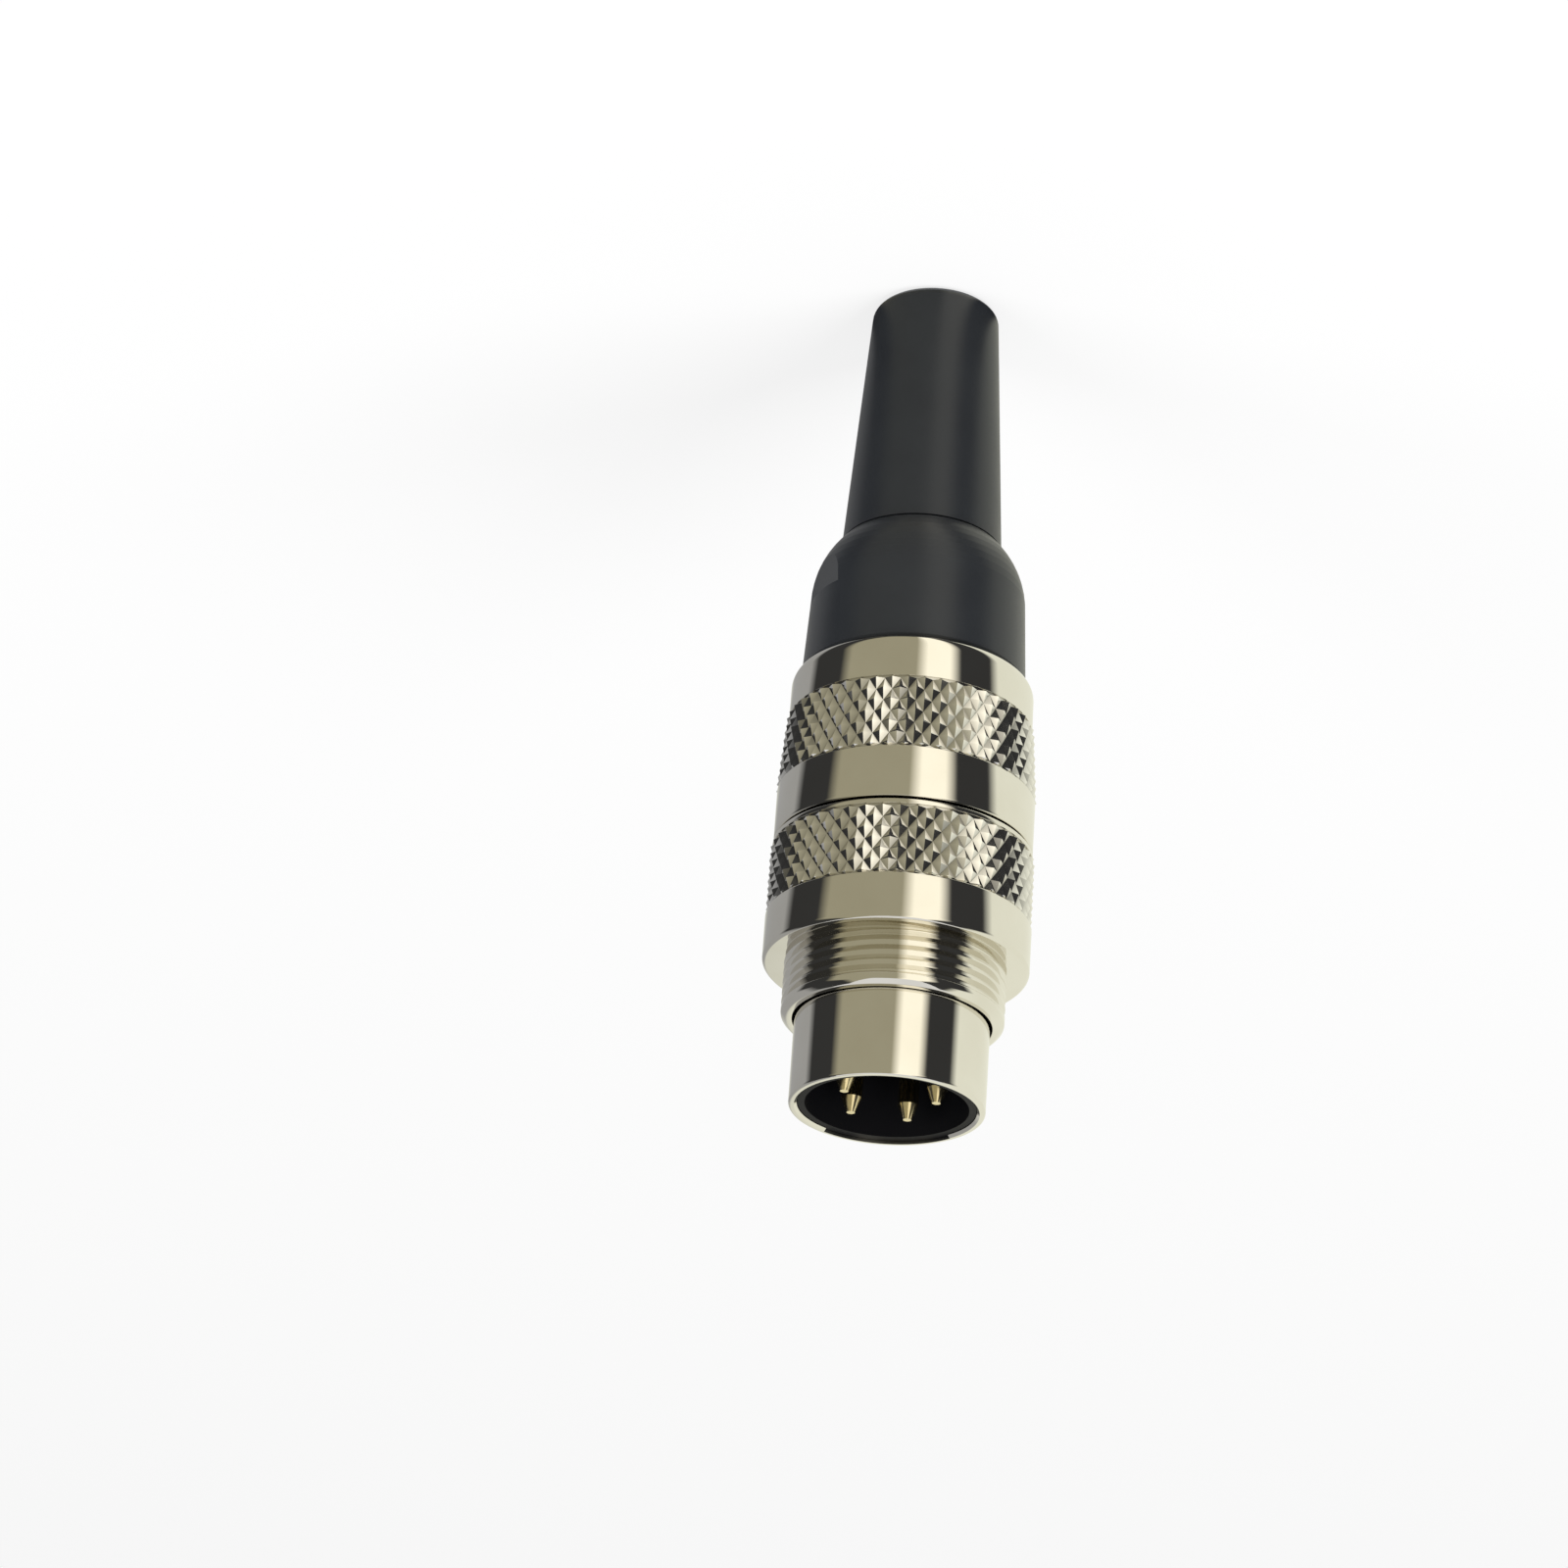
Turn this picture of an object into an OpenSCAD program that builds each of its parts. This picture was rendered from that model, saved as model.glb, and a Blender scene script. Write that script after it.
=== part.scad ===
// Four-pole male cable plug, circular, with a screw coupling ring.
// The plug stands on the cable end of its bend relief, and its mating face looks up.
// Z = 0 is the end of the bend relief, and Z runs along the plug's axis.

/* [Barrel] */
// Outer diameter of the mating barrel
barrel_d = 14; // [13.8:0.1:14.1]
// Wall of the mating barrel
barrel_wall = 0.6; // [0.5:0.05:0.65]
// How much narrower the shell is where the coupling ring turns on it
journal_step = 0.1; // [0:0.05:0.2]
// How much narrower it is between that bearing and the exposed barrel
undercut_step = 0.4; // [0.35:0.05:0.45]
// Length of barrel that stands out of the coupling thread
barrel_reach = 6.5; // [5:0.5:8]
// Depth of the contact cavity below the rim
cavity_depth = 9.3; // [8:0.1:9.8]
// Rounding of the rim's edges
rim_round = 0.2; // [0.1:0.05:0.25]
// Thickness of the web that the insulator seats on
web_len = 3.7; // [3.4:0.1:4]
// How far the web reaches in from the barrel's bore
web_lip = 0.8; // [0.7:0.05:0.9]
// How far the thread that carries the rear sleeve rises above the barrel
tail_rise = 0.5; // [0.4:0.05:0.55]
// Gap between the threaded tail and the land in the rear sleeve
tail_gap = 0.25; // [0.1:0.05:0.5]
// Wall of the threaded tail
tail_wall = 1.1; // [1:0.05:1.2]
// Width of the polarising keyway in degrees
key_angle = 86; // [60:2:100]
// Depth of the keyway into the barrel wall
key_depth = 0.25; // [0.15:0.05:0.3]
// Length of the keyway from the rim
key_len = 5.5; // [4:0.5:6]
// Turn of the keyway about the axis
key_turn = 3; // [-10:1:10]

/* [Insulators] */
// Wall of the skirt that lines the barrel
skirt_wall = 0.55; // [0.45:0.05:0.7]
// How far the skirt ends below the rim
skirt_recess = 0.25; // [0.2:0.05:0.5]
// Thickness of the floor that carries the contacts
floor_len = 2; // [1.8:0.1:2.2]
// How far the insulator stands out behind the web
spigot_len = 1.6; // [1.5:0.1:1.8]
// Thickness of the rear insulator
rear_disc_len = 1.75; // [1.5:0.25:2.5]
// Thickness of the split ring that holds the insulator
snap_ring_t = 0.7; // [0.5:0.1:0.8]
// Depth of the groove under that ring
snap_groove = 0.45; // [0.35:0.05:0.5]

/* [Contacts] */
// Diameter of a contact pin
pin_d = 1.5; // [1:0.1:1.6]
// Diameter of the circle that the pins stand on
pin_circle_d = 7; // [6.6:0.1:7.2]
// How far the pin tips end below the rim
pin_recess = 0.6; // [0.5:0.1:2]
// Length of the conical pin tip
pin_tip_len = 1.1; // [0.6:0.1:1.3]
// Diameter at the very end of the tip
pin_tip_d = 0.6; // [0.4:0.1:0.8]
// Diameter of the collar that holds a pin
pin_collar_d = 2.3; // [2:0.1:2.6]
// Thickness of that collar
pin_collar_t = 1; // [0.8:0.1:1.2]
// Outer diameter of a solder cup
cup_d = 2; // [1.8:0.1:2.1]
// Bore of a solder cup
cup_bore = 1.3; // [1:0.1:1.4]
// Length of a solder cup behind the rear insulator
cup_len = 4.6; // [3:0.2:5]
// Turn of the contact pattern about the axis
pattern_turn = -9; // [-20:1:20]

/* [Coupling ring] */
// How far the crest of the coupling thread rises above the barrel
thread_rise = 1; // [0.9:0.05:1.1]
// Length of the coupling thread
thread_len = 4.25; // [3.5:0.25:5]
// Bevel on the first thread
thread_bevel = 0.35; // [0.2:0.05:0.4]
// Distance between the thread's ridges
thread_pitch = 0.75; // [0.6:0.05:1]
// Depth of the V between two ridges
thread_depth = 0.45; // [0.3:0.05:0.5]
// Width of the flat on a ridge
thread_flat = 0.1; // [0.05:0.05:0.2]
// How far the smooth collar rises above the thread's crest
collar_rise = 1.6; // [1.4:0.1:2]
// Length of the smooth collar
collar_len = 3.5; // [3:0.25:4.5]
// Bevel on the front of the collar
collar_bevel = 0.4; // [0.2:0.05:0.6]
// Length of one knurled band
knurl_len = 5.8; // [5:0.2:6.4]
// Gap around the threaded tail behind the bearing
ring_free = 0.3; // [0.2:0.05:0.4]
// Length of the bearing on the shell
bearing_len = 3.2; // [3:0.1:3.4]
// Width of the split ring that holds the coupling ring
clip_w = 0.9; // [0.7:0.05:1]
// Depth of its groove in the shell
clip_depth = 0.5; // [0.4:0.05:0.55]
// How far the split ring stands into the coupling ring
clip_stand = 0.4; // [0.3:0.05:0.5]

/* [Knurl] */
// Diamonds around the circumference
knurl_count = 48; // [36:1:60]
// Half diamonds along a band
knurl_rows = 6; // [4:2:8]
// Height of a diamond
knurl_depth = 0.3; // [0.2:0.02:0.34]
// Length over which a knurl runs out at its ends
knurl_run = 0.2; // [0.1:0.05:0.3]

/* [Rear sleeve] */
// How much narrower the smooth middle band is than the collar
mid_step = 0.4; // [0:0.1:0.8]
// Length of the smooth middle band
mid_len = 3.95; // [3:0.25:5]
// How much narrower the rear knurl is at its front than the collar
crown_step = 0.2; // [0:0.1:0.4]
// Loss of crest diameter along the rear knurl
crown_drop = 0.8; // [0:0.1:1]
// How much narrower the rear band is than the collar
rear_band_step = 1.4; // [1.2:0.1:1.6]
// Length of the rear band
rear_band_len = 3.4; // [3:0.2:4]
// How much narrower the sleeve's end face is than the rear band
rear_end_step = 1.2; // [0.8:0.1:1.4]
// Length of the rounded edge at the nut
rear_round = 0.9; // [0.6:0.1:1.2]
// Gap between the coupling ring and the sleeve
ring_gap = 0.2; // [0.15:0.05:0.3]
// Length of the internal front thread
front_thread_len = 4.2; // [4:0.1:4.4]
// How far the land between the two threads reaches in
land_lip = 0.5; // [0.45:0.05:0.6]
// Length of that bore
land_len = 1.8; // [1.6:0.1:2]
// How much narrower the rear thread that takes the gland nut is
gland_step = 1; // [0.8:0.1:1.2]

/* [Cable gland] */
// Wall of the insulating sleeve
wrap_wall = 0.7; // [0.4:0.1:1]
// Bore of the screen ring
screen_bore = 8; // [7.4:0.2:9]
// Thickness of the screen ring
screen_t = 1.2; // [0.8:0.1:1.3]
// Thickness of the rubber seal
seal_t = 2.3; // [2:0.1:2.4]
// Gap around the cable in the seal
seal_ease = 0.1; // [0.05:0.05:0.3]
// Thickness of the slip washer
washer_t = 0.45; // [0.3:0.05:0.5]
// Length of the clamp's solid ring
clamp_ring_len = 1.6; // [1.2:0.1:2]
// How far the clamp's fingers reach into the pinch ring
finger_reach = 1.2; // [0.8:0.1:1.6]
// Fingers around the clamp
finger_count = 8; // [6:1:10]
// Width of the slots between the fingers
finger_slot = 0.8; // [0.6:0.1:1]
// Gap around the clamp inside the nut
clamp_free = 0.3; // [0.2:0.05:0.4]
// Taper of the clamp's fingers on each side
finger_taper = 1.3; // [1.1:0.1:1.5]
// Gap around the cable in the clamp
clamp_ease = 0.3; // [0.1:0.05:0.4]
// Length of the pinch ring
pinch_len = 3; // [2.4:0.2:3.4]

/* [Gland nut] */
// Length of the nut outside the sleeve
nut_len = 11.2; // [10.6:0.2:12]
// How much narrower the nut is than the sleeve's end face
nut_step = 0.1; // [0:0.05:0.3]
// How much the nut narrows to where its shoulder starts
nut_taper = 0.6; // [0:0.1:0.6]
// Length of the rounded shoulder
nut_shoulder_len = 4.8; // [4:0.2:5.2]
// Diameter at the bend relief
nut_rear_d = 12; // [11.9:0.1:12.4]
// Width across the wrench flats
flats_w = 15; // [14.6:0.1:15.4]
// Length of the wrench flats from the nut's rear end
flats_len = 5.45; // [5:0.1:6]
// Turn of the wrench flats about the axis
flats_turn = -20; // [-45:5:45]
// Length of the threaded neck
neck_len = 4.1; // [3.6:0.1:4.2]
// Wall of the nut's threaded neck
neck_wall = 0.85; // [0.8:0.05:0.9]
// Thickness of the wall behind the bore
nut_wall = 3.6; // [3.2:0.2:4]
// How far the wall behind the bore reaches in
nut_lip = 0.8; // [0.6:0.05:0.9]

/* [Bend relief] */
// Length of the bend relief outside the nut
relief_len = 20.4; // [16:0.2:28]
// How much narrower the bend relief is than the nut beside it
root_step = 0.1; // [0.1:0.1:0.5]
// Diameter at the cable end
relief_tip_d = 9.6; // [9:0.1:10.4]
// Rounding of the cable end
relief_round = 0.9; // [0.5:0.1:1.2]
// Bore for the cable
cable_bore = 6.2; // [5.4:0.1:6.4]
// Thickness of the flange inside the nut
relief_flange_t = 1.2; // [1:0.1:1.4]

/* [Clearances] */
// Gap around pieces that are pushed or screwed together
fit = 0.05; // [0.02:0.01:0.06]
// Gap around pieces that turn on each other
running = 0.06; // [0.04:0.01:0.08]
// Gap beside pieces that move past each other
free = 0.15; // [0.1:0.05:0.2]

/* [Hidden] */
$fn = 96;
eps = 0.01;
// Gap across pieces that are dropped into a threaded bore
slack = 0.2;

// Diameters of the shell
barrel_bore = barrel_d - 2 * barrel_wall;
journal_d = barrel_d - journal_step;
undercut_d = barrel_d - undercut_step;
web_bore = barrel_bore - 2 * web_lip;
tail_d = barrel_d + 2 * tail_rise;
tail_bore = tail_d - 2 * tail_wall;

// Diameters of the coupling ring
thread_d = barrel_d + 2 * thread_rise;
ring_d = thread_d + 2 * collar_rise;
ring_bore = tail_d + 2 * ring_free;

// Diameters of the rear sleeve
mid_d = ring_d - mid_step;
crown_d = ring_d - crown_step;
rear_band_d = ring_d - rear_band_step;
rear_end_d = rear_band_d - rear_end_step;
gland_thread_d = tail_d - gland_step;
sleeve_bore = gland_thread_d - 2 * land_lip;

// Diameters of the nut and what is in it
nut_front_d = rear_end_d - nut_step;
nut_waist_d = nut_front_d - nut_taper;
nut_bore = gland_thread_d - 2 * fit - 2 * neck_wall;
nut_hole_d = nut_bore - 2 * nut_lip;
relief_root_d = nut_rear_d - root_step;
wrap_d = tail_bore - slack;
clamp_d = nut_bore - 2 * clamp_free;
clamp_tip_d = clamp_d - 2 * finger_taper;
clamp_bore = cable_bore + 2 * clamp_ease;
seal_bore = cable_bore + 2 * seal_ease;

// Contact angles of the 216 degree pattern, from the keyed side
pin_angles = [-108, -36, 36, 108];
// Points on a rounded edge
arc_steps = 8;
// How far the ends of a knurl reach into the bands beside it
knurl_sink = 0.3;
// Plain lip behind the knurl of the coupling ring
ring_lip = 0.4;
// Small bevel on turned edges
bevel = 0.2;
// Shoulder of the shell behind the coupling ring's bearing
shell_shoulder = 0.3;
// Distance from the rear of that bearing to its split ring
clip_inset = 1.15;
// Steps by which the smooth bands stand off the knurls beside them
band_step = 0.05;
lip_step = 0.15;
// Solid end of a solder cup
cup_end = 0.4;
// Closed length of a solder cup above its open side
cup_closed = 1;
// Depth that the snap ring stands out of the insulator's spigot, on the diameter
snap_stand = 1.1;
// Solid disc at the rear of the pinch ring
pinch_floor = 0.8;
// Gap around the cable in the pinch ring
cable_free = 0.4;

// Levels along the axis, from the cable end to the rim
nut_z = relief_len;
sleeve_z = nut_z + nut_len;
rear_knurl_z = sleeve_z + rear_band_len;
mid_z = rear_knurl_z + knurl_len;
sleeve_top = mid_z + mid_len;
ring_z = sleeve_top + ring_gap;
collar_z = ring_z + knurl_len;
thread_z = collar_z + collar_len;
ring_top = thread_z + thread_len;
rim_z = ring_top + barrel_reach;

// Levels inside the shell
floor_z = rim_z - cavity_depth;
web_top = floor_z - floor_len;
web_z = web_top - web_len;
bearing_z = web_z - shell_shoulder;
clip_z = bearing_z + clip_inset;
spigot_z = web_z - spigot_len;
rear_disc_z = spigot_z - fit - rear_disc_len;

// Levels inside the rear sleeve
land_top = sleeve_top - front_thread_len;
tail_z = land_top + tail_gap;
land_z = land_top - land_len;
seal_z = land_z - seal_t;
washer_z = seal_z - washer_t;
neck_top = sleeve_z + neck_len;
clamp_top = washer_z;
finger_z = clamp_top - clamp_ring_len;
screen_z = land_z;
wrap_z = screen_z + screen_t;
wrap_len = rear_disc_z - wrap_z;

// Levels inside the nut
nut_floor = nut_z + nut_wall;
relief_flange_top = nut_floor + relief_flange_t;
pinch_z = relief_flange_top;
clamp_end = pinch_z + pinch_len - finger_reach;
finger_len = finger_z - clamp_end;

// A solid of revolution from an outline of [radius, height] points
module turned(points) rotate_extrude() polygon(points);

// A plain ring
module ring(outer_d, inner_d, z, length) {
    turned([[inner_d / 2, z], [outer_d / 2, z], [outer_d / 2, z + length], [inner_d / 2, z + length]]);
}

// A straight hole from z upwards
module hole(d, z, length) translate([0, 0, z]) cylinder(d = d, h = length);

// Points on a quarter of an ellipse about a centre, from one angle to another
function arc(centre, r_across, r_along, from, to) =
    [for (k = [0:arc_steps]) let (a = from + (to - from) * k / arc_steps)
        [centre[0] + r_across * cos(a), centre[1] + r_along * sin(a)]];

// A split ring with a gap at angle turn
module split_ring(outer_d, inner_d, z, length, gap, turn) {
    difference() {
        ring(outer_d, inner_d, z, length);
        rotate([0, 0, turn])
            translate([0, -gap / 2, z - eps]) cube([outer_d, gap, length + 2 * eps]);
    }
}

// Radius of a knurl point: crests and roots alternate, and both ends run out to the root
function knurl_r(i, j, last, crest) =
    crest - (j < 2 || j > last - 2 || (i + j) % 2 == 1 ? knurl_depth : 0);

// A drum with crossed V grooves: 2 * knurl_count points in each ring, crest radius from r0 to r1
module knurl_drum(z, length, r0, r1) {
    around = 2 * knurl_count;
    step = (length - 2 * knurl_run) / knurl_rows;
    heights = concat([-knurl_sink, 0],
        [for (k = [0:knurl_rows]) knurl_run + k * step], [length, length + knurl_sink]);
    last = len(heights) - 1;
    function crest(h) = r0 + (r1 - r0) * max(0, min(1, h / length));
    points = [for (j = [0:last]) for (i = [0:around - 1])
        let (r = knurl_r(i, j, last, crest(heights[j])), a = i * 360 / around)
            [r * cos(a), r * sin(a), z + heights[j]]];
    function at(i, j) = j * around + i % around;
    skin = [for (j = [0:last - 1]) for (i = [0:around - 1]) for (half = [0, 1])
        (i + j) % 2 == 0
            ? (half == 0 ? [at(i, j), at(i, j + 1), at(i + 1, j)]
                         : [at(i + 1, j), at(i, j + 1), at(i + 1, j + 1)])
            : (half == 0 ? [at(i, j), at(i + 1, j + 1), at(i + 1, j)]
                         : [at(i, j), at(i, j + 1), at(i + 1, j + 1)])];
    ends = [[for (i = [0:around - 1]) at(i, 0)], [for (i = [around - 1:-1:0]) at(i, last)]];
    polyhedron(points = points, faces = concat(skin, ends));
}

// A wedge of a ring that is key_angle wide, for the keyway and the key in it
module key_sector(outer_d, inner_d, z, length, angle) {
    rotate([0, 0, 90 + key_turn - angle / 2])
        translate([0, 0, z])
            rotate_extrude(angle = angle)
                translate([inner_d / 2, 0]) square([(outer_d - inner_d) / 2, length]);
}

module front_shell() {
    clip_groove_d = journal_d - 2 * clip_depth;
    color("gainsboro")
        difference() {
            turned(concat(
                [[0, tail_z], [tail_d / 2 - bevel, tail_z], [tail_d / 2, tail_z + bevel],
                [tail_d / 2, bearing_z - bevel], [journal_d / 2, bearing_z - bevel],
                [journal_d / 2, bearing_z + bearing_len], [undercut_d / 2, bearing_z + bearing_len],
                [undercut_d / 2, ring_top], [barrel_d / 2, ring_top]],
                arc([barrel_d / 2 - rim_round, rim_z - rim_round], rim_round, rim_round, 0, 90),
                [[0, rim_z]]));
            hole(tail_bore, tail_z - eps, web_z - tail_z + eps);
            hole(web_bore, web_z - eps, web_len + 2 * eps);
            hole(barrel_bore, web_top, rim_z - web_top + eps);
            turned([[barrel_bore / 2 - eps, rim_z - rim_round], [barrel_bore / 2, rim_z - rim_round],
                [barrel_bore / 2 + rim_round, rim_z + eps], [barrel_bore / 2 - eps, rim_z + eps]]);
            key_sector(barrel_bore + 2 * key_depth, barrel_bore - skirt_wall, rim_z - key_len,
                key_len + eps, key_angle);
            ring(barrel_d, clip_groove_d, clip_z - fit, clip_w + 2 * fit);
        }
}

module pin_places() {
    for (a = pin_angles) rotate([0, 0, a + pattern_turn]) translate([0, pin_circle_d / 2, 0]) children();
}

module front_insulator() {
    skirt_d = barrel_bore - 2 * fit;
    cavity_d = barrel_bore - 2 * skirt_wall;
    skirt_top = rim_z - skirt_recess;
    spigot_d = web_bore - 2 * fit;
    groove_z = web_z - snap_ring_t - 2 * fit;
    color([0.09, 0.09, 0.1])
        difference() {
            union() {
                turned([[0, spigot_z], [spigot_d / 2 - bevel, spigot_z], [spigot_d / 2, spigot_z + bevel],
                    [spigot_d / 2, web_top], [skirt_d / 2, web_top], [skirt_d / 2, skirt_top],
                    [cavity_d / 2, skirt_top], [cavity_d / 2, floor_z], [0, floor_z]]);
                key_sector(skirt_d + 2 * key_depth, cavity_d + skirt_wall, rim_z - key_len + fit,
                    key_len - skirt_recess - fit, key_angle - 1);
            }
            ring(web_bore, spigot_d - 2 * snap_groove, groove_z, snap_ring_t + 2 * fit);
            pin_places() {
                hole(pin_d + 2 * fit, spigot_z - eps, floor_z - spigot_z + 2 * eps);
                hole(pin_collar_d + 2 * fit, spigot_z - eps, pin_collar_t + eps);
            }
        }
}

module insulator_snap_ring() {
    groove_d = web_bore - 2 * fit - 2 * snap_groove;
    color("silver")
        split_ring(web_bore + snap_stand, groove_d + 2 * fit, web_z - snap_ring_t, snap_ring_t, 3, 40);
}

module rear_insulator() {
    color([0.12, 0.12, 0.13])
        difference() {
            translate([0, 0, rear_disc_z]) cylinder(d = tail_bore - slack, h = rear_disc_len);
            pin_places() hole(cup_d + 2 * fit, rear_disc_z - eps, rear_disc_len + 2 * eps);
        }
}

// Pin k: tip, shaft, collar between the insulators, and solder cup with its open side outwards
module contact_pin(k) {
    tip_z = rim_z - pin_recess;
    cup_z = rear_disc_z - cup_len;
    cup_depth = cup_len - cup_end;
    color([0.8, 0.72, 0.45])
        rotate([0, 0, pin_angles[k] + pattern_turn])
            translate([0, pin_circle_d / 2, 0])
                difference() {
                    turned([[0, cup_z], [cup_d / 2, cup_z], [cup_d / 2, spigot_z],
                        [pin_collar_d / 2, spigot_z], [pin_collar_d / 2, spigot_z + pin_collar_t],
                        [pin_d / 2, spigot_z + pin_collar_t], [pin_d / 2, tip_z - pin_tip_len],
                        [pin_tip_d / 2, tip_z], [0, tip_z]]);
                    hole(cup_bore, cup_z - eps, cup_depth);
                    translate([-cup_d, cup_bore / 4, cup_z - eps]) cube([2 * cup_d, cup_d, cup_depth - cup_closed]);
                }
}

module contact_pin_1() contact_pin(0);
module contact_pin_2() contact_pin(1);
module contact_pin_3() contact_pin(2);
module contact_pin_4() contact_pin(3);

// The V grooves that stand for the coupling thread, as closed rings
module thread_grooves() {
    crest = thread_d / 2;
    half = (thread_pitch - thread_flat) / 2;
    for (k = [0:floor((thread_len - thread_bevel) / thread_pitch) - 1])
        translate([0, 0, thread_z + (k + 0.5) * thread_pitch])
            turned([[crest - thread_depth, 0], [crest, -half], [crest + eps, -half],
                [crest + eps, half], [crest, half]]);
}

module coupling_ring() {
    crest = ring_d / 2;
    core = crest - knurl_depth - knurl_sink;
    bearing_d = journal_d + 2 * running;
    bearing_top = bearing_z + bearing_len;
    color("gainsboro")
        difference() {
            union() {
                knurl_drum(ring_z + ring_lip, knurl_len - ring_lip, crest, crest);
                turned([[0, ring_z], [crest - lip_step - bevel, ring_z], [crest - lip_step, ring_z + bevel],
                    [crest - lip_step, ring_z + ring_lip], [core, ring_z + ring_lip], [core, collar_z],
                    [crest, collar_z], [crest, thread_z - collar_bevel],
                    [crest - collar_bevel, thread_z], [thread_d / 2, thread_z],
                    [thread_d / 2, ring_top - thread_bevel], [thread_d / 2 - thread_bevel, ring_top],
                    [0, ring_top]]);
            }
            hole(ring_bore, ring_z - eps, bearing_z - ring_z + eps);
            hole(bearing_d, bearing_z - eps, bearing_len + eps);
            hole(barrel_d + 2 * free, bearing_top - eps, ring_top - bearing_top + 2 * eps);
            ring(journal_d + 2 * clip_stand + 2 * free, journal_d, clip_z - free, clip_w + 2 * free);
            thread_grooves();
        }
}

module coupling_clip() {
    color("silver")
        split_ring(journal_d + 2 * clip_stand, journal_d - 2 * clip_depth + 2 * fit, clip_z, clip_w, 4, 200);
}

module rear_sleeve() {
    mid_r = mid_d / 2;
    crest_front = crown_d / 2;
    crest_rear = (crown_d - crown_drop) / 2;
    core = crest_rear - knurl_depth - knurl_sink;
    band_r = rear_band_d / 2;
    end_r = rear_end_d / 2;
    round_z = sleeve_z + rear_round;
    color("gainsboro")
        difference() {
            union() {
                knurl_drum(rear_knurl_z, knurl_len, crest_rear, crest_front);
                turned(concat([[0, sleeve_z]],
                    arc([end_r, round_z], band_r - end_r, rear_round, -90, 0),
                    [[band_r + band_step, rear_knurl_z], [core, rear_knurl_z], [core, mid_z],
                    [mid_r, mid_z], [mid_r, sleeve_top - bevel], [mid_r - bevel, sleeve_top],
                    [0, sleeve_top]]));
            }
            hole(tail_d + 2 * fit, land_top, front_thread_len + eps);
            hole(sleeve_bore, land_z - eps, land_len + 2 * eps);
            hole(gland_thread_d, sleeve_z - eps, land_z - sleeve_z + eps);
        }
}

module insulating_sleeve() {
    color("ivory") ring(wrap_d, wrap_d - 2 * wrap_wall, wrap_z, wrap_len);
}

module screen_ring() {
    color("silver") ring(wrap_d, screen_bore, screen_z, screen_t);
}

module cable_seal() {
    color([0.15, 0.15, 0.15]) ring(gland_thread_d - slack, seal_bore, seal_z, seal_t);
}

module slip_washer() {
    color("silver") ring(gland_thread_d - slack, clamp_bore, washer_z, washer_t);
}

// A collet: a solid ring with fingers that the pinch ring squeezes on to the cable
module clamp_basket() {
    color([0.2, 0.2, 0.21])
        difference() {
            turned([[clamp_bore / 2, clamp_end], [clamp_tip_d / 2, clamp_end],
                [clamp_d / 2, clamp_end + finger_len / 2], [clamp_d / 2, clamp_top],
                [clamp_bore / 2, clamp_top]]);
            for (k = [0:finger_count - 1])
                rotate([0, 0, k * 360 / finger_count])
                    translate([0, -finger_slot / 2, clamp_end - eps])
                        cube([clamp_d, finger_slot, finger_len + eps]);
        }
}

// A ring whose cone closes the clamp's fingers as the nut is tightened
module pinch_ring() {
    outer_r = nut_bore / 2 - fit;
    inner_r = cable_bore / 2 + cable_free;
    tip_r = clamp_tip_d / 2 + running;
    slope = (clamp_d - clamp_tip_d) / finger_len;
    top = pinch_z + pinch_len;
    color("silver")
        turned([[inner_r, pinch_z], [outer_r, pinch_z], [outer_r, top],
            [tip_r + slope * finger_reach, top], [tip_r, clamp_end],
            [tip_r, pinch_z + pinch_floor], [inner_r, pinch_z + pinch_floor]]);
}

// Points on the nut's shoulder: a circular arc from the waist down to the bend relief
function shoulder() =
    let (drop = (nut_waist_d - nut_rear_d) / 2, z0 = nut_z + nut_shoulder_len,
        r = (nut_shoulder_len * nut_shoulder_len + drop * drop) / (2 * drop),
        sweep = asin(nut_shoulder_len / r))
    arc([nut_waist_d / 2 - r, z0], r, r, -sweep, 0);

module gland_nut() {
    neck_r = gland_thread_d / 2 - fit;
    color([0.2, 0.21, 0.22])
        difference() {
            turned(concat([[0, nut_z]], shoulder(),
                [[nut_front_d / 2, sleeve_z - free - bevel], [nut_front_d / 2 - bevel, sleeve_z - free],
                [neck_r, sleeve_z - free], [neck_r, neck_top - bevel], [neck_r - bevel, neck_top],
                [0, neck_top]]));
            hole(nut_hole_d, nut_z - eps, nut_wall + 2 * eps);
            hole(nut_bore, nut_floor, neck_top - nut_floor + eps);
            for (side = [0, 180])
                rotate([0, 0, flats_turn + side])
                    translate([flats_w / 2, -nut_front_d / 2, nut_z - eps])
                        cube([nut_front_d, nut_front_d, flats_len]);
        }
}

module bend_relief() {
    neck_r = nut_hole_d / 2 - running;
    tip_r = relief_tip_d / 2;
    root_z = nut_z - free;
    color([0.17, 0.18, 0.19])
        difference() {
            turned(concat([[0, 0]],
                arc([tip_r - relief_round, relief_round], relief_round, relief_round, -90, 0),
                [[relief_root_d / 2, root_z], [neck_r, root_z], [neck_r, nut_floor + fit],
                [nut_bore / 2 - free, nut_floor + fit], [nut_bore / 2 - free, relief_flange_top],
                [0, relief_flange_top]]));
            hole(cable_bore, -eps, relief_flange_top + 2 * eps);
        }
}

front_shell();
front_insulator();
rear_insulator();
insulator_snap_ring();
contact_pin_1();
contact_pin_2();
contact_pin_3();
contact_pin_4();
coupling_ring();
coupling_clip();
rear_sleeve();
insulating_sleeve();
screen_ring();
cable_seal();
slip_washer();
clamp_basket();
pinch_ring();
gland_nut();
bend_relief();
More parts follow.
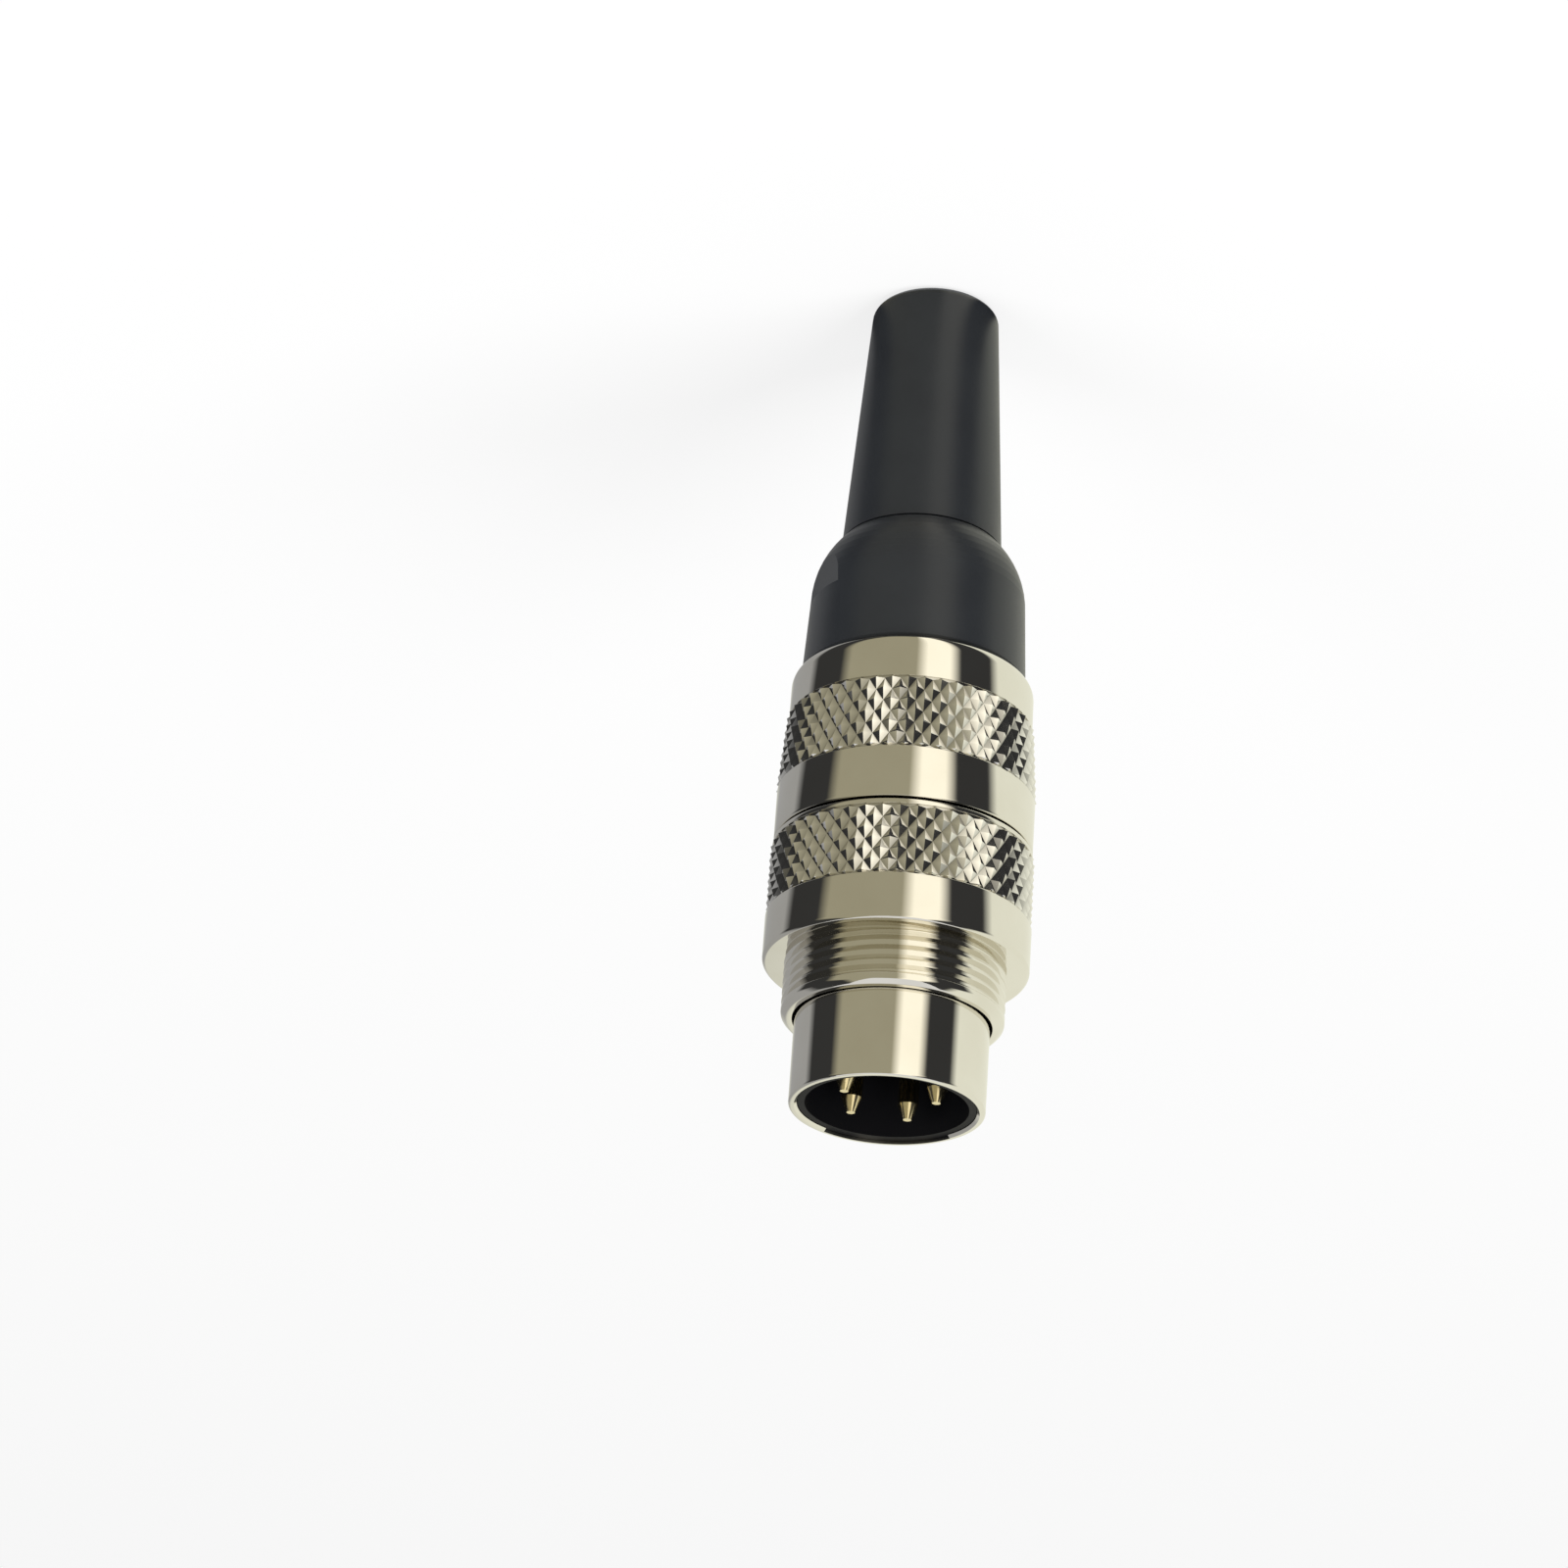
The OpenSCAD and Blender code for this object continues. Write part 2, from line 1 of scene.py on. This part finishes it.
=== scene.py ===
import math
import bmesh
import bpy
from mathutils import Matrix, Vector


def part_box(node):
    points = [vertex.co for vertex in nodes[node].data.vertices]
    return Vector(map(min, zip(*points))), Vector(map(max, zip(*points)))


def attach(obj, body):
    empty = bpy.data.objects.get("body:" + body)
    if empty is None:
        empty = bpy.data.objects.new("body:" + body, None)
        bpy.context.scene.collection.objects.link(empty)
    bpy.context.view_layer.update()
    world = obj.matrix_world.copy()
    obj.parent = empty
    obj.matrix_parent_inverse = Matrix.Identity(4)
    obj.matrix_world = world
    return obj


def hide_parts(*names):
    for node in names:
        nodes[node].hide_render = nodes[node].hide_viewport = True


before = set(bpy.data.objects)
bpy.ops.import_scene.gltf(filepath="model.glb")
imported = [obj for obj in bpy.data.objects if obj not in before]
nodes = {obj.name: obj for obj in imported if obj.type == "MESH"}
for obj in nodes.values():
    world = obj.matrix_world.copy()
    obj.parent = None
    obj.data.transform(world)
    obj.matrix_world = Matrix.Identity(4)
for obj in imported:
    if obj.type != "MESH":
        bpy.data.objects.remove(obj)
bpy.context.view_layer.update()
mm = 0.001
print("frame loaded:", len(nodes), "nodes")


class Sock:  # an output socket that takes part in plain arithmetic
    def __init__(self, tree, out):
        self.tree, self.out = tree, out

    def maths(self, kind, a, b=None, clamp=False):
        n = self.tree.nodes.new("ShaderNodeMath")
        n.operation, n.use_clamp = kind, clamp
        for i, v in enumerate((a, b)):
            if isinstance(v, Sock):
                self.tree.links.new(v.out, n.inputs[i])
            elif v is not None:
                n.inputs[i].default_value = v
        return Sock(self.tree, n.outputs[0])

    def __add__(self, o): return self.maths("ADD", self, o)
    def __radd__(self, o): return self.maths("ADD", o, self)
    def __sub__(self, o): return self.maths("SUBTRACT", self, o)
    def __rsub__(self, o): return self.maths("SUBTRACT", o, self)
    def __mul__(self, o): return self.maths("MULTIPLY", self, o)
    def __rmul__(self, o): return self.maths("MULTIPLY", o, self)
    def __truediv__(self, o): return self.maths("DIVIDE", self, o)
    def __pow__(self, o): return self.maths("POWER", self, o)
    def clamped(self): return self.maths("ADD", self, 0.0, clamp=True)


class Finish:  # one material, built node by node
    def __init__(self, name):
        self.mat = bpy.data.materials.new(name)
        self.mat.use_nodes = True
        self.tree = self.mat.node_tree
        self.tree.nodes.clear()

    def add(self, kind, settings=None, inputs=None, out=0):  # settings go first, then values or links
        n = self.tree.nodes.new("ShaderNode" + kind)
        for k, v in (settings or {}).items():
            if k == "stops":
                ramp = n.color_ramp
                ramp.elements[0].position, ramp.elements[0].color = v[0][0], (*v[0][1], 1)
                ramp.elements[1].position, ramp.elements[1].color = v[-1][0], (*v[-1][1], 1)
                for place, colour in v[1:-1]:
                    ramp.elements.new(place).color = (*colour, 1)
            else:
                setattr(n, k, v)
        for k, v in (inputs or {}).items():
            if isinstance(v, Sock):
                self.tree.links.new(v.out, n.inputs[k])
            else:
                n.inputs[k].default_value = v
        return Sock(self.tree, n.outputs[out])

    def place(self, scale=(1, 1, 1)):  # the piece's own coordinates, in millimetres
        at = self.add("TexCoord", out="Object")
        return self.add("Mapping", None, {"Vector": at, "Scale": tuple(s / mm for s in scale)})

    def split(self, at):
        n = self.tree.nodes.new("ShaderNodeSeparateXYZ")
        self.tree.links.new(at.out, n.inputs[0])
        return [Sock(self.tree, n.outputs[i]) for i in range(3)]

    def noise(self, at, size, detail=3.0, rough=0.5):
        return self.add("TexNoise", None, {"Vector": at, "Scale": 1 / size,
                                           "Detail": detail, "Roughness": rough})

    def mix(self, share, a, b):
        return self.add("Mix", {"data_type": "RGBA"}, {0: share, 6: a, 7: b}, out=2)

    def bump(self, height, depth, strength=1.0):
        return self.add("Bump", None, {"Height": height, "Distance": depth, "Strength": strength})

    def surface(self, **sockets):
        n = self.tree.nodes.new("ShaderNodeBsdfPrincipled")
        for k, v in sockets.items():
            key = k.replace("_", " ")
            if isinstance(v, Sock):
                self.tree.links.new(v.out, n.inputs[key])
            else:
                n.inputs[key].default_value = v
        self.finish(Sock(self.tree, n.outputs[0]))
        return self.mat

    def finish(self, shader):
        last = self.tree.nodes.new("ShaderNodeOutputMaterial")
        self.tree.links.new(shader.out, last.inputs[0])


def rgb(r, g, b):
    return (r, g, b, 1.0)


# sizes are in millimetres wherever mm turns them into metres; diamonds round, half diamonds along
knurl = dict(count=48, rows=6, depth=0.3, run=0.2, sink=0.5, bodySink=0.3)

# the groove tone and its share below are painted shade, laid into the knurl's grooves by depth
nickelSet = dict(colour=rgb(0.84, 0.82, 0.765), shade=rgb(0.78, 0.755, 0.69),
                 groove=rgb(0.10, 0.095, 0.085), grooveShare=0.4, crest=rgb(0.95, 0.935, 0.90))


def platedNickel(name, roughness, lineDepth, band=None):
    # band: (z0, length, r0, r1) of a knurl whose grooves are darkened with painted shade below its crests
    f = Finish(name)
    at = f.place()
    lines = f.noise(f.place((0.02, 0.02, 1)), 0.09, 4.0, 0.6)  # turning lines round the axis
    cloud = f.noise(at, 3.5, 3.0)
    specks = f.noise(at, 0.12, 2.0)
    colour = f.mix((cloud * 1.6 - 0.3).clamped(), nickelSet["colour"], nickelSet["shade"])
    if band:
        z0, length, r0, r1 = band
        x, y, z = f.split(at)
        crest = (z - z0) * ((r1 - r0) / length) + r0
        paintedShadeMask = ((crest - (x * x + y * y) ** 0.5) / knurl["depth"]).clamped()
        # painted shade: darker with depth below the crest line, into the knurl's grooves
        colour = f.mix(paintedShadeMask * nickelSet["grooveShare"], nickelSet["crest"], nickelSet["groove"])
    rough = (roughness + (cloud - 0.5) * 0.06 + (lines - 0.5) * 0.05).clamped()
    return f.surface(Base_Color=colour, Metallic=1.0, Roughness=rough,
                     Normal=f.bump(lines * 0.8 + specks * 0.2, lineDepth * mm, 0.35))


def mouldedPlastic(name, colour, shade, roughness, grain, depth, shine=0.5):  # grain and depth in mm
    f = Finish(name)
    at = f.place()
    cloud = f.noise(at, 4.0, 3.0)
    skin = f.noise(at, grain, 2.0, 0.6)
    tint = f.mix((cloud * 1.5 - 0.25).clamped(), colour, shade)
    rough = (roughness + (cloud - 0.5) * 0.10 + (skin - 0.5) * 0.08).clamped()
    return f.surface(Base_Color=tint, Roughness=rough, Specular_IOR_Level=shine,
                     Normal=f.bump(skin, depth * mm, 0.6))


def plainMetal(name, colour, shade, roughness):
    f = Finish(name)
    at = f.place()
    cloud = f.noise(at, 0.8, 3.0)
    return f.surface(Base_Color=f.mix(cloud, colour, shade), Metallic=1.0,
                     Roughness=(roughness + (cloud - 0.5) * 0.1).clamped(),
                     Normal=f.bump(f.noise(at, 0.06), 0.001 * mm, 0.5))


nickelPlate = platedNickel("nickelPlate", 0.045, 0.0006)
nutBlack = mouldedPlastic("nutBlack", rgb(0.017, 0.019, 0.023), rgb(0.021, 0.024, 0.028),
                        0.34, 0.16, 0.003, 0.36)
reliefBlack = mouldedPlastic("reliefBlack", rgb(0.016, 0.018, 0.022), rgb(0.020, 0.023, 0.027),
                           0.38, 0.12, 0.003, 0.36)
insertBlack = mouldedPlastic("insertBlack", rgb(0.004, 0.004, 0.005), rgb(0.006, 0.006, 0.007),
                           0.5, 0.10, 0.003, 0.12)
clampBlack = mouldedPlastic("clampBlack", rgb(0.03, 0.03, 0.031), rgb(0.04, 0.04, 0.041), 0.5, 0.12, 0.004)
sealBlack = mouldedPlastic("sealBlack", rgb(0.012, 0.012, 0.012), rgb(0.02, 0.02, 0.02), 0.7, 0.2, 0.01)
ivoryPlastic = mouldedPlastic("ivoryPlastic", rgb(0.66, 0.61, 0.48), rgb(0.72, 0.67, 0.55), 0.35, 0.2, 0.003)
pinGold = plainMetal("pinGold", rgb(0.86, 0.74, 0.46), rgb(0.78, 0.68, 0.44), 0.2)
springSteel = plainMetal("springSteel", rgb(0.55, 0.54, 0.52), rgb(0.46, 0.45, 0.44), 0.3)

finishOf = {
    "front_shell": nickelPlate, "front_insulator": insertBlack, "rear_insulator": insertBlack,
    "insulator_snap_ring": springSteel, "contact_pin_1": pinGold, "contact_pin_2": pinGold,
    "contact_pin_3": pinGold, "contact_pin_4": pinGold, "coupling_ring": nickelPlate,
    "coupling_clip": springSteel, "rear_sleeve": nickelPlate, "insulating_sleeve": ivoryPlastic,
    "screen_ring": springSteel, "cable_seal": sealBlack, "slip_washer": springSteel,
    "clamp_basket": clampBlack, "pinch_ring": springSteel, "gland_nut": nutBlack,
    "bend_relief": reliefBlack,
}
for name, node in nodes.items():
    node.data.materials.clear()
    node.data.materials.append(finishOf[name])
print("finishes on", len(finishOf), "nodes")


def startPiece(name, addPrimitive, **how):
    bpy.ops.object.select_all(action="DESELECT")
    addPrimitive(**how)
    piece = bpy.context.object
    piece.name = piece.data.name = name
    return piece


def pickVerts(piece, test):  # in edit mode: selects the points that pass the test, places in mm
    bpy.ops.mesh.select_mode(type="VERT")
    bpy.ops.mesh.select_all(action="DESELECT")
    b = bmesh.from_edit_mesh(piece.data)
    for v in b.verts:
        v.select_set(bool(test(v.co.x / mm, v.co.y / mm, v.co.z / mm)))
    b.select_flush_mode()
    bmesh.update_edit_mesh(piece.data)


def applyAll(piece):
    bpy.ops.object.select_all(action="DESELECT")
    bpy.context.view_layer.objects.active = piece
    piece.select_set(True)
    for m in list(piece.modifiers):
        bpy.ops.object.modifier_apply(modifier=m.name)


def rounded(points, cuts=5):  # corners given as (r, z, radius) become arcs
    out, n = [], len(points)
    for i, p in enumerate(points):
        if len(p) < 3 or p[2] <= 0:
            out.append((p[0], p[1]))
            continue
        a, b = points[i - 1], points[(i + 1) % n]
        va, vb = (a[0] - p[0], a[1] - p[1]), (b[0] - p[0], b[1] - p[1])
        la, lb = math.hypot(*va), math.hypot(*vb)
        ua, ub = (va[0] / la, va[1] / la), (vb[0] / lb, vb[1] / lb)
        turn = math.acos(max(-1, min(1, ua[0] * ub[0] + ua[1] * ub[1])))
        reach = min(p[2] / math.tan(turn / 2), 0.49 * la, 0.49 * lb)
        for k in range(cuts + 1):  # a quadratic curve through the corner's two ends
            t = k / cuts
            wa, wb = (1 - t) ** 2, t ** 2
            out.append(tuple(p[c] + (wa * ua[c] + wb * ub[c]) * reach for c in (0, 1)))
    return out


def drawOutline(name, outline):
    # a closed outline of (r, z) points in mm, drawn point by point; edit mode stays on
    piece = startPiece(name, bpy.ops.mesh.primitive_plane_add, size=mm)
    bpy.ops.object.mode_set(mode="EDIT")
    bpy.ops.mesh.select_all(action="SELECT")
    bpy.ops.mesh.merge(type="CENTER")
    bpy.ops.transform.translate(value=(outline[0][0] * mm, 0, outline[0][1] * mm))
    for (r0, z0), (r1, z1) in zip(outline, outline[1:] + outline[:1]):
        step = ((r1 - r0) * mm, 0, (z1 - z0) * mm)
        bpy.ops.mesh.extrude_vertices_move(TRANSFORM_OT_translate={"value": step})
    bpy.ops.mesh.select_all(action="SELECT")
    bpy.ops.mesh.remove_doubles(threshold=0.001 * mm)
    return piece


def turned(name, outline, steps=160):
    piece = drawOutline(name, outline)
    bpy.ops.mesh.spin(steps=steps, angle=math.tau, center=(0, 0, 0), axis=(0, 0, 1))
    bpy.ops.mesh.select_all(action="SELECT")
    bpy.ops.mesh.remove_doubles(threshold=0.001 * mm)
    bpy.ops.mesh.normals_make_consistent(inside=False)
    bpy.ops.object.mode_set(mode="OBJECT")
    return piece


def smoothed(piece, degrees=32):
    bpy.ops.object.select_all(action="DESELECT")
    bpy.context.view_layer.objects.active = piece
    piece.select_set(True)
    bpy.ops.object.shade_smooth_by_angle(angle=math.radians(degrees))


def joined(name, pieces):
    bpy.ops.object.select_all(action="DESELECT")
    for p in pieces:
        p.select_set(True)
    bpy.context.view_layer.objects.active = pieces[0]
    bpy.ops.object.join()
    pieces[0].name = pieces[0].data.name = name
    return pieces[0]


def knurlBand(name, z0, length, r0, r1):
    # a closed ring with crossed grooves: crests and roots alternate on a net of points
    around = 2 * knurl["count"]
    piece = startPiece(name, bpy.ops.mesh.primitive_cylinder_add, vertices=around, radius=r0 * mm,
                       depth=length * mm, end_fill_type="NOTHING", location=(0, 0, (z0 + length / 2) * mm))
    bpy.ops.object.transform_apply(location=True, rotation=False, scale=False)
    bpy.ops.object.mode_set(mode="EDIT")
    step = (length - 2 * knurl["run"]) / knurl["rows"]
    levels = [z0] + [z0 + knurl["run"] + k * step for k in range(knurl["rows"] + 1)] + [z0 + length]
    for z in levels[1:-1]:
        bpy.ops.mesh.select_all(action="SELECT")
        bpy.ops.mesh.bisect(plane_co=(0, 0, z * mm), plane_no=(0, 0, 1))
    last = len(levels) - 1
    for j, z in enumerate(levels):
        crest = r0 + (r1 - r0) * (z - z0) / length
        for low in (True, False):
            def wanted(x, y, h):
                i = round(math.degrees(math.atan2(y, x)) / 360 * around)
                root = j in (0, last) or (i + j) % 2 == 1
                return abs(h - z) < 0.01 and root == low
            pickVerts(piece, wanted)
            size = (crest - (knurl["depth"] if low else 0)) / r0
            bpy.ops.transform.resize(value=(size, size, 1), center_override=(0, 0, 0))
    bpy.ops.mesh.select_all(action="SELECT")
    bpy.ops.mesh.quads_convert_to_tris(quad_method="SHORTEST_DIAGONAL")
    core = min(r0, r1) - knurl["depth"] - knurl["sink"]
    for z in (z0, z0 + length):  # both ends turn in to the core
        pickVerts(piece, lambda x, y, h: abs(h - z) < 0.01)
        bpy.ops.mesh.extrude_region_move()
        crest = r0 if z == z0 else r1
        size = core / (crest - knurl["depth"])
        bpy.ops.transform.resize(value=(size, size, 1), center_override=(0, 0, 0))
    pickVerts(piece, lambda x, y, h: math.hypot(x, y) < core + 0.02)
    bpy.ops.mesh.bridge_edge_loops()
    bpy.ops.mesh.select_all(action="SELECT")
    bpy.ops.mesh.normals_make_consistent(inside=False)
    bpy.ops.object.mode_set(mode="OBJECT")
    band = (z0, length, r0, r1)
    # the knurl's plating, with painted shade in its grooves
    piece.data.materials.append(platedNickel(name + "Plate", 0.10, 0.002, band))
    return piece


# coupling ring: turned body, knurl and helical thread
low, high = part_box("coupling_ring")
ringFoot, ringTop = low.z / mm, high.z / mm
ring = dict(collarR=9.6, lipR=9.45, knurlLength=5.4, lip=0.4, collarLength=3.5, collarBevel=0.2,
            boreR=7.8, bearingR=7.01, frontR=7.15, bearingFoot=4.75, bearingTop=7.95,
            threadR=8.0, rootR=7.6, pitch=0.75, crestWidth=0.12, frontBevel=0.4, frontLand=0.85,
            ridgeHalf=0.2775, ridgeSink=0.05, ridgeSteps=96)


def threadRidge(name, foot, top, r):
    # one V ridge wound right-handed, with both ends cut square by a blank
    half = r["ridgeHalf"]
    low, edge = r["rootR"] - r["ridgeSink"], r["crestWidth"] / 2
    turns = math.ceil((top - foot) / r["pitch"]) + 1
    start = foot - r["pitch"]
    ridge = drawOutline(name, [(low, start - half), (r["threadR"], start - edge),
                               (r["threadR"], start + edge), (low, start + half)])
    bpy.ops.object.mode_set(mode="OBJECT")
    screw = ridge.modifiers.new("Screw", "SCREW")
    screw.axis, screw.angle, screw.screw_offset = "Z", math.tau, r["pitch"] * mm
    screw.iterations, screw.steps, screw.render_steps = turns, r["ridgeSteps"], r["ridgeSteps"]
    applyAll(ridge)
    bpy.ops.object.mode_set(mode="EDIT")
    bpy.ops.mesh.select_all(action="SELECT")
    bpy.ops.mesh.fill_holes(sides=0)
    bpy.ops.mesh.select_all(action="SELECT")
    bpy.ops.mesh.normals_make_consistent(inside=False)
    bpy.ops.object.mode_set(mode="OBJECT")
    inner = low - r["ridgeSink"]
    blank = turned(name + "Blank", [(inner, foot), (r["threadR"], foot), (r["threadR"], top), (inner, top)],
                   r["ridgeSteps"])
    cut = ridge.modifiers.new("Ends", "BOOLEAN")
    cut.operation, cut.object, cut.solver = "INTERSECT", blank, "EXACT"
    applyAll(ridge)
    bpy.data.objects.remove(blank)
    return ridge


knurlFoot = ringFoot + ring["lip"]
collarFoot = knurlFoot + ring["knurlLength"]
threadFoot = collarFoot + ring["collarLength"]
landFoot = ringTop - ring["frontLand"]
coreR = ring["collarR"] - knurl["depth"] - knurl["bodySink"]
bevelR = ring["threadR"] - ring["frontBevel"]
bearingFoot, bearingTop = ringFoot + ring["bearingFoot"], ringFoot + ring["bearingTop"]
ringBody = turned("ringBody", rounded([  # radius, height and the rounding of the corner
    (ring["boreR"], ringFoot, 0.1), (ring["lipR"], ringFoot, 0.22), (ring["lipR"], knurlFoot, 0.05),
    (coreR, knurlFoot), (coreR, collarFoot), (ring["collarR"], collarFoot, 0.1),
    (ring["collarR"], threadFoot - ring["collarBevel"], 0.3),
    (ring["collarR"] - ring["collarBevel"], threadFoot, 0.15), (ring["rootR"], threadFoot, 0.1),
    (ring["rootR"], landFoot - 0.15, 0.1), (ring["threadR"], landFoot + 0.1, 0.1),
    (ring["threadR"], ringTop - ring["frontBevel"], 0.3), (bevelR, ringTop, 0.3),
    (ring["frontR"], ringTop, 0.08), (ring["frontR"], bearingTop), (ring["bearingR"], bearingTop),
    (ring["bearingR"], bearingFoot), (ring["boreR"], bearingFoot),
]))
ringBody.data.materials.append(nickelPlate)
ringThread = threadRidge("ringThread", threadFoot, landFoot + 0.1, ring)
ringThread.data.materials.clear()
ringThread.data.materials.append(nickelPlate)
ringKnurl = knurlBand("ringKnurl", knurlFoot, ring["knurlLength"], ring["collarR"], ring["collarR"])
couplingRing = joined("couplingRing", [ringBody, ringThread, ringKnurl])
smoothed(couplingRing)
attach(couplingRing, "coupling")
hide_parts("coupling_ring")
print("coupling ring:", len(couplingRing.data.polygons), "faces")


# rear sleeve: turned body and a knurl that narrows towards the nut
low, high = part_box("rear_sleeve")
sleeveFoot, sleeveTop = low.z / mm, high.z / mm
sleeve = dict(endR=8.3, bandR=8.9, bandLength=3.4, bandStep=0.02, roundLength=0.9, roundCuts=10,
              knurlLength=5.8, knurlRearR=9.1, knurlFrontR=9.5, midR=9.4, glandR=7.0, landR=6.5,
              tailR=7.55, landFoot=7.15, landTop=8.95)
knurlFoot = sleeveFoot + sleeve["bandLength"]
midFoot = knurlFoot + sleeve["knurlLength"]
coreR = sleeve["knurlRearR"] - knurl["depth"] - knurl["bodySink"]
landFoot, landTop = sleeveFoot + sleeve["landFoot"], sleeveFoot + sleeve["landTop"]
endStep = sleeve["bandR"] - sleeve["endR"]
angles = [math.radians(90 * k / sleeve["roundCuts"]) for k in range(sleeve["roundCuts"] + 1)]
edge = [(sleeve["endR"] + endStep * math.sin(a),
         sleeveFoot + sleeve["roundLength"] * (1 - math.cos(a))) for a in angles]
sleeveBody = turned("sleeveBody", rounded([(sleeve["glandR"], sleeveFoot, 0.1)] + edge + [
    (sleeve["bandR"] + sleeve["bandStep"], knurlFoot, 0.04), (coreR, knurlFoot), (coreR, midFoot),
    (sleeve["midR"], midFoot, 0.08), (sleeve["midR"], sleeveTop, 0.22), (sleeve["tailR"], sleeveTop, 0.1),
    (sleeve["tailR"], landTop), (sleeve["landR"], landTop), (sleeve["landR"], landFoot),
    (sleeve["glandR"], landFoot)]))
sleeveBody.data.materials.append(nickelPlate)
sleeveKnurl = knurlBand("sleeveKnurl", knurlFoot, sleeve["knurlLength"],
                        sleeve["knurlRearR"], sleeve["knurlFrontR"])
rearSleeve = joined("rearSleeve", [sleeveBody, sleeveKnurl])
smoothed(rearSleeve)
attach(rearSleeve, "plug")
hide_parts("rear_sleeve")
print("rear sleeve:", len(rearSleeve.data.polygons), "faces")


# studio: floor, walls that only gloss sees, lamps, sky and camera
studio = dict(floorSize=8.0, floorGrey=0.86, floorKeep=0.75, skyLevel=0.55,
              wallR=0.065, wallLength=0.16, wallFoot=0.0005, wallSides=96, wallGain=1.25,
              lampSize=0.5, aimHeight=0.035,
              keyPlace=(-0.45, -0.45, 0.75), keyPower=7.0, fillPlace=(0.55, -0.35, 0.35), fillPower=3.0)
seenRays = ("Is Camera Ray", "Is Glossy Ray", "Is Transmission Ray")

floor = startPiece("studioFloor", bpy.ops.mesh.primitive_plane_add, size=studio["floorSize"])
white = Finish("floorWhite")
lit = white.add("BsdfDiffuse", None, {"Color": rgb(*[studio["floorGrey"]] * 3)})
flat = white.add("Emission", None, {"Color": rgb(1, 1, 1), "Strength": 1.0})
camRay, glossRay, clearRay = [white.add("LightPath", out=ray) for ray in seenRays]
seen = (camRay + glossRay + clearRay).clamped()
white.finish(white.add("MixShader", None, {0: seen * studio["floorKeep"], 1: lit, 2: flat}))
floor.data.materials.append(white.mat)

wallMiddle = studio["wallFoot"] + studio["wallLength"] / 2
walls = startPiece("studioWalls", bpy.ops.mesh.primitive_cylinder_add, vertices=studio["wallSides"],
                   radius=studio["wallR"], depth=studio["wallLength"], end_fill_type="NGON",
                   location=(0, 0, wallMiddle))
bpy.ops.object.transform_apply(location=True, rotation=False, scale=False)
bpy.ops.object.mode_set(mode="EDIT")  # the top is open, the bottom keeps its disc
pickVerts(walls, lambda x, y, z: z * mm > wallMiddle)
bpy.ops.mesh.delete(type="ONLY_FACE")
bpy.ops.object.mode_set(mode="OBJECT")
cards = Finish("wallCards")
x, y, z = cards.split(cards.add("TexCoord", out="Object"))
bearing = (x * -1).maths("ARCTAN2", x * -1, y * -1) / math.tau + 0.5
cardTone = dict(pale=(0.7, 0.7, 0.6), grey=(0.3, 0.3, 0.3), dark=(0.03, 0.03, 0.03),
                olive=(0.3, 0.28, 0.2), cream=(1, 0.95, 0.8))
# plain cards all the way round: degrees from the camera, and the card's tone
wallCards = [(-180, "pale"), (-150, "grey"), (-110, "grey"), (-100, "dark"), (-70, "dark"),
             (-60, "olive"), (0, "olive"), (10, "cream"), (30, "cream"), (40, "dark"), (70, "dark"),
             (80, "pale"), (180, "pale")]
stops = [((angle + 180) / 360, cardTone[card]) for angle, card in wallCards]
tone = cards.add("ValToRGB", {"stops": stops}, {"Fac": bearing})
cards.finish(cards.add("Emission", None, {"Color": tone, "Strength": studio["wallGain"]}))
walls.data.materials.append(cards.mat)
walls.visible_camera = walls.visible_diffuse = False
walls.visible_shadow = walls.visible_transmission = False


def softLamp(name, place, power):
    bpy.ops.object.light_add(type="AREA", location=place)
    lamp = bpy.context.object
    lamp.name, lamp.data.size, lamp.data.energy = name, studio["lampSize"], power
    aim = Vector(place) - Vector((0, 0, studio["aimHeight"]))
    lamp.rotation_euler = aim.to_track_quat("Z", "Y").to_euler()
    lamp.visible_glossy = False
    return lamp


softLamp("keyLamp", studio["keyPlace"], studio["keyPower"])
softLamp("fillLamp", studio["fillPlace"], studio["fillPower"])

world = bpy.data.worlds.new("studioSky")
bpy.context.scene.world = world
world.use_nodes = True
tree = world.node_tree
tree.nodes.clear()
lightPath = tree.nodes.new("ShaderNodeLightPath")
camRay, glossRay, clearRay = [Sock(tree, lightPath.outputs[ray]) for ray in seenRays]
seen = (camRay + glossRay + clearRay).clamped()
sky = tree.nodes.new("ShaderNodeBackground")
tree.links.new((seen * (1 - studio["skyLevel"]) + studio["skyLevel"]).out, sky.inputs["Strength"])
tree.links.new(sky.outputs[0], tree.nodes.new("ShaderNodeOutputWorld").inputs[0])

view = dict(place=(0.008944, -0.326880, 0.192102), turn=(-65.0163, 3.8444, -178.2106),
            lens=113.625, sensor=36.0, near=0.01, far=50.0)
bpy.ops.object.camera_add(location=view["place"], rotation=[math.radians(a) for a in view["turn"]])
camera = bpy.context.object
camera.name = "camera"
camera.data.lens, camera.data.sensor_width = view["lens"], view["sensor"]
camera.data.clip_start, camera.data.clip_end = view["near"], view["far"]
bpy.context.scene.camera = camera
bpy.context.scene.view_settings.view_transform = "Standard"
print("studio ready")
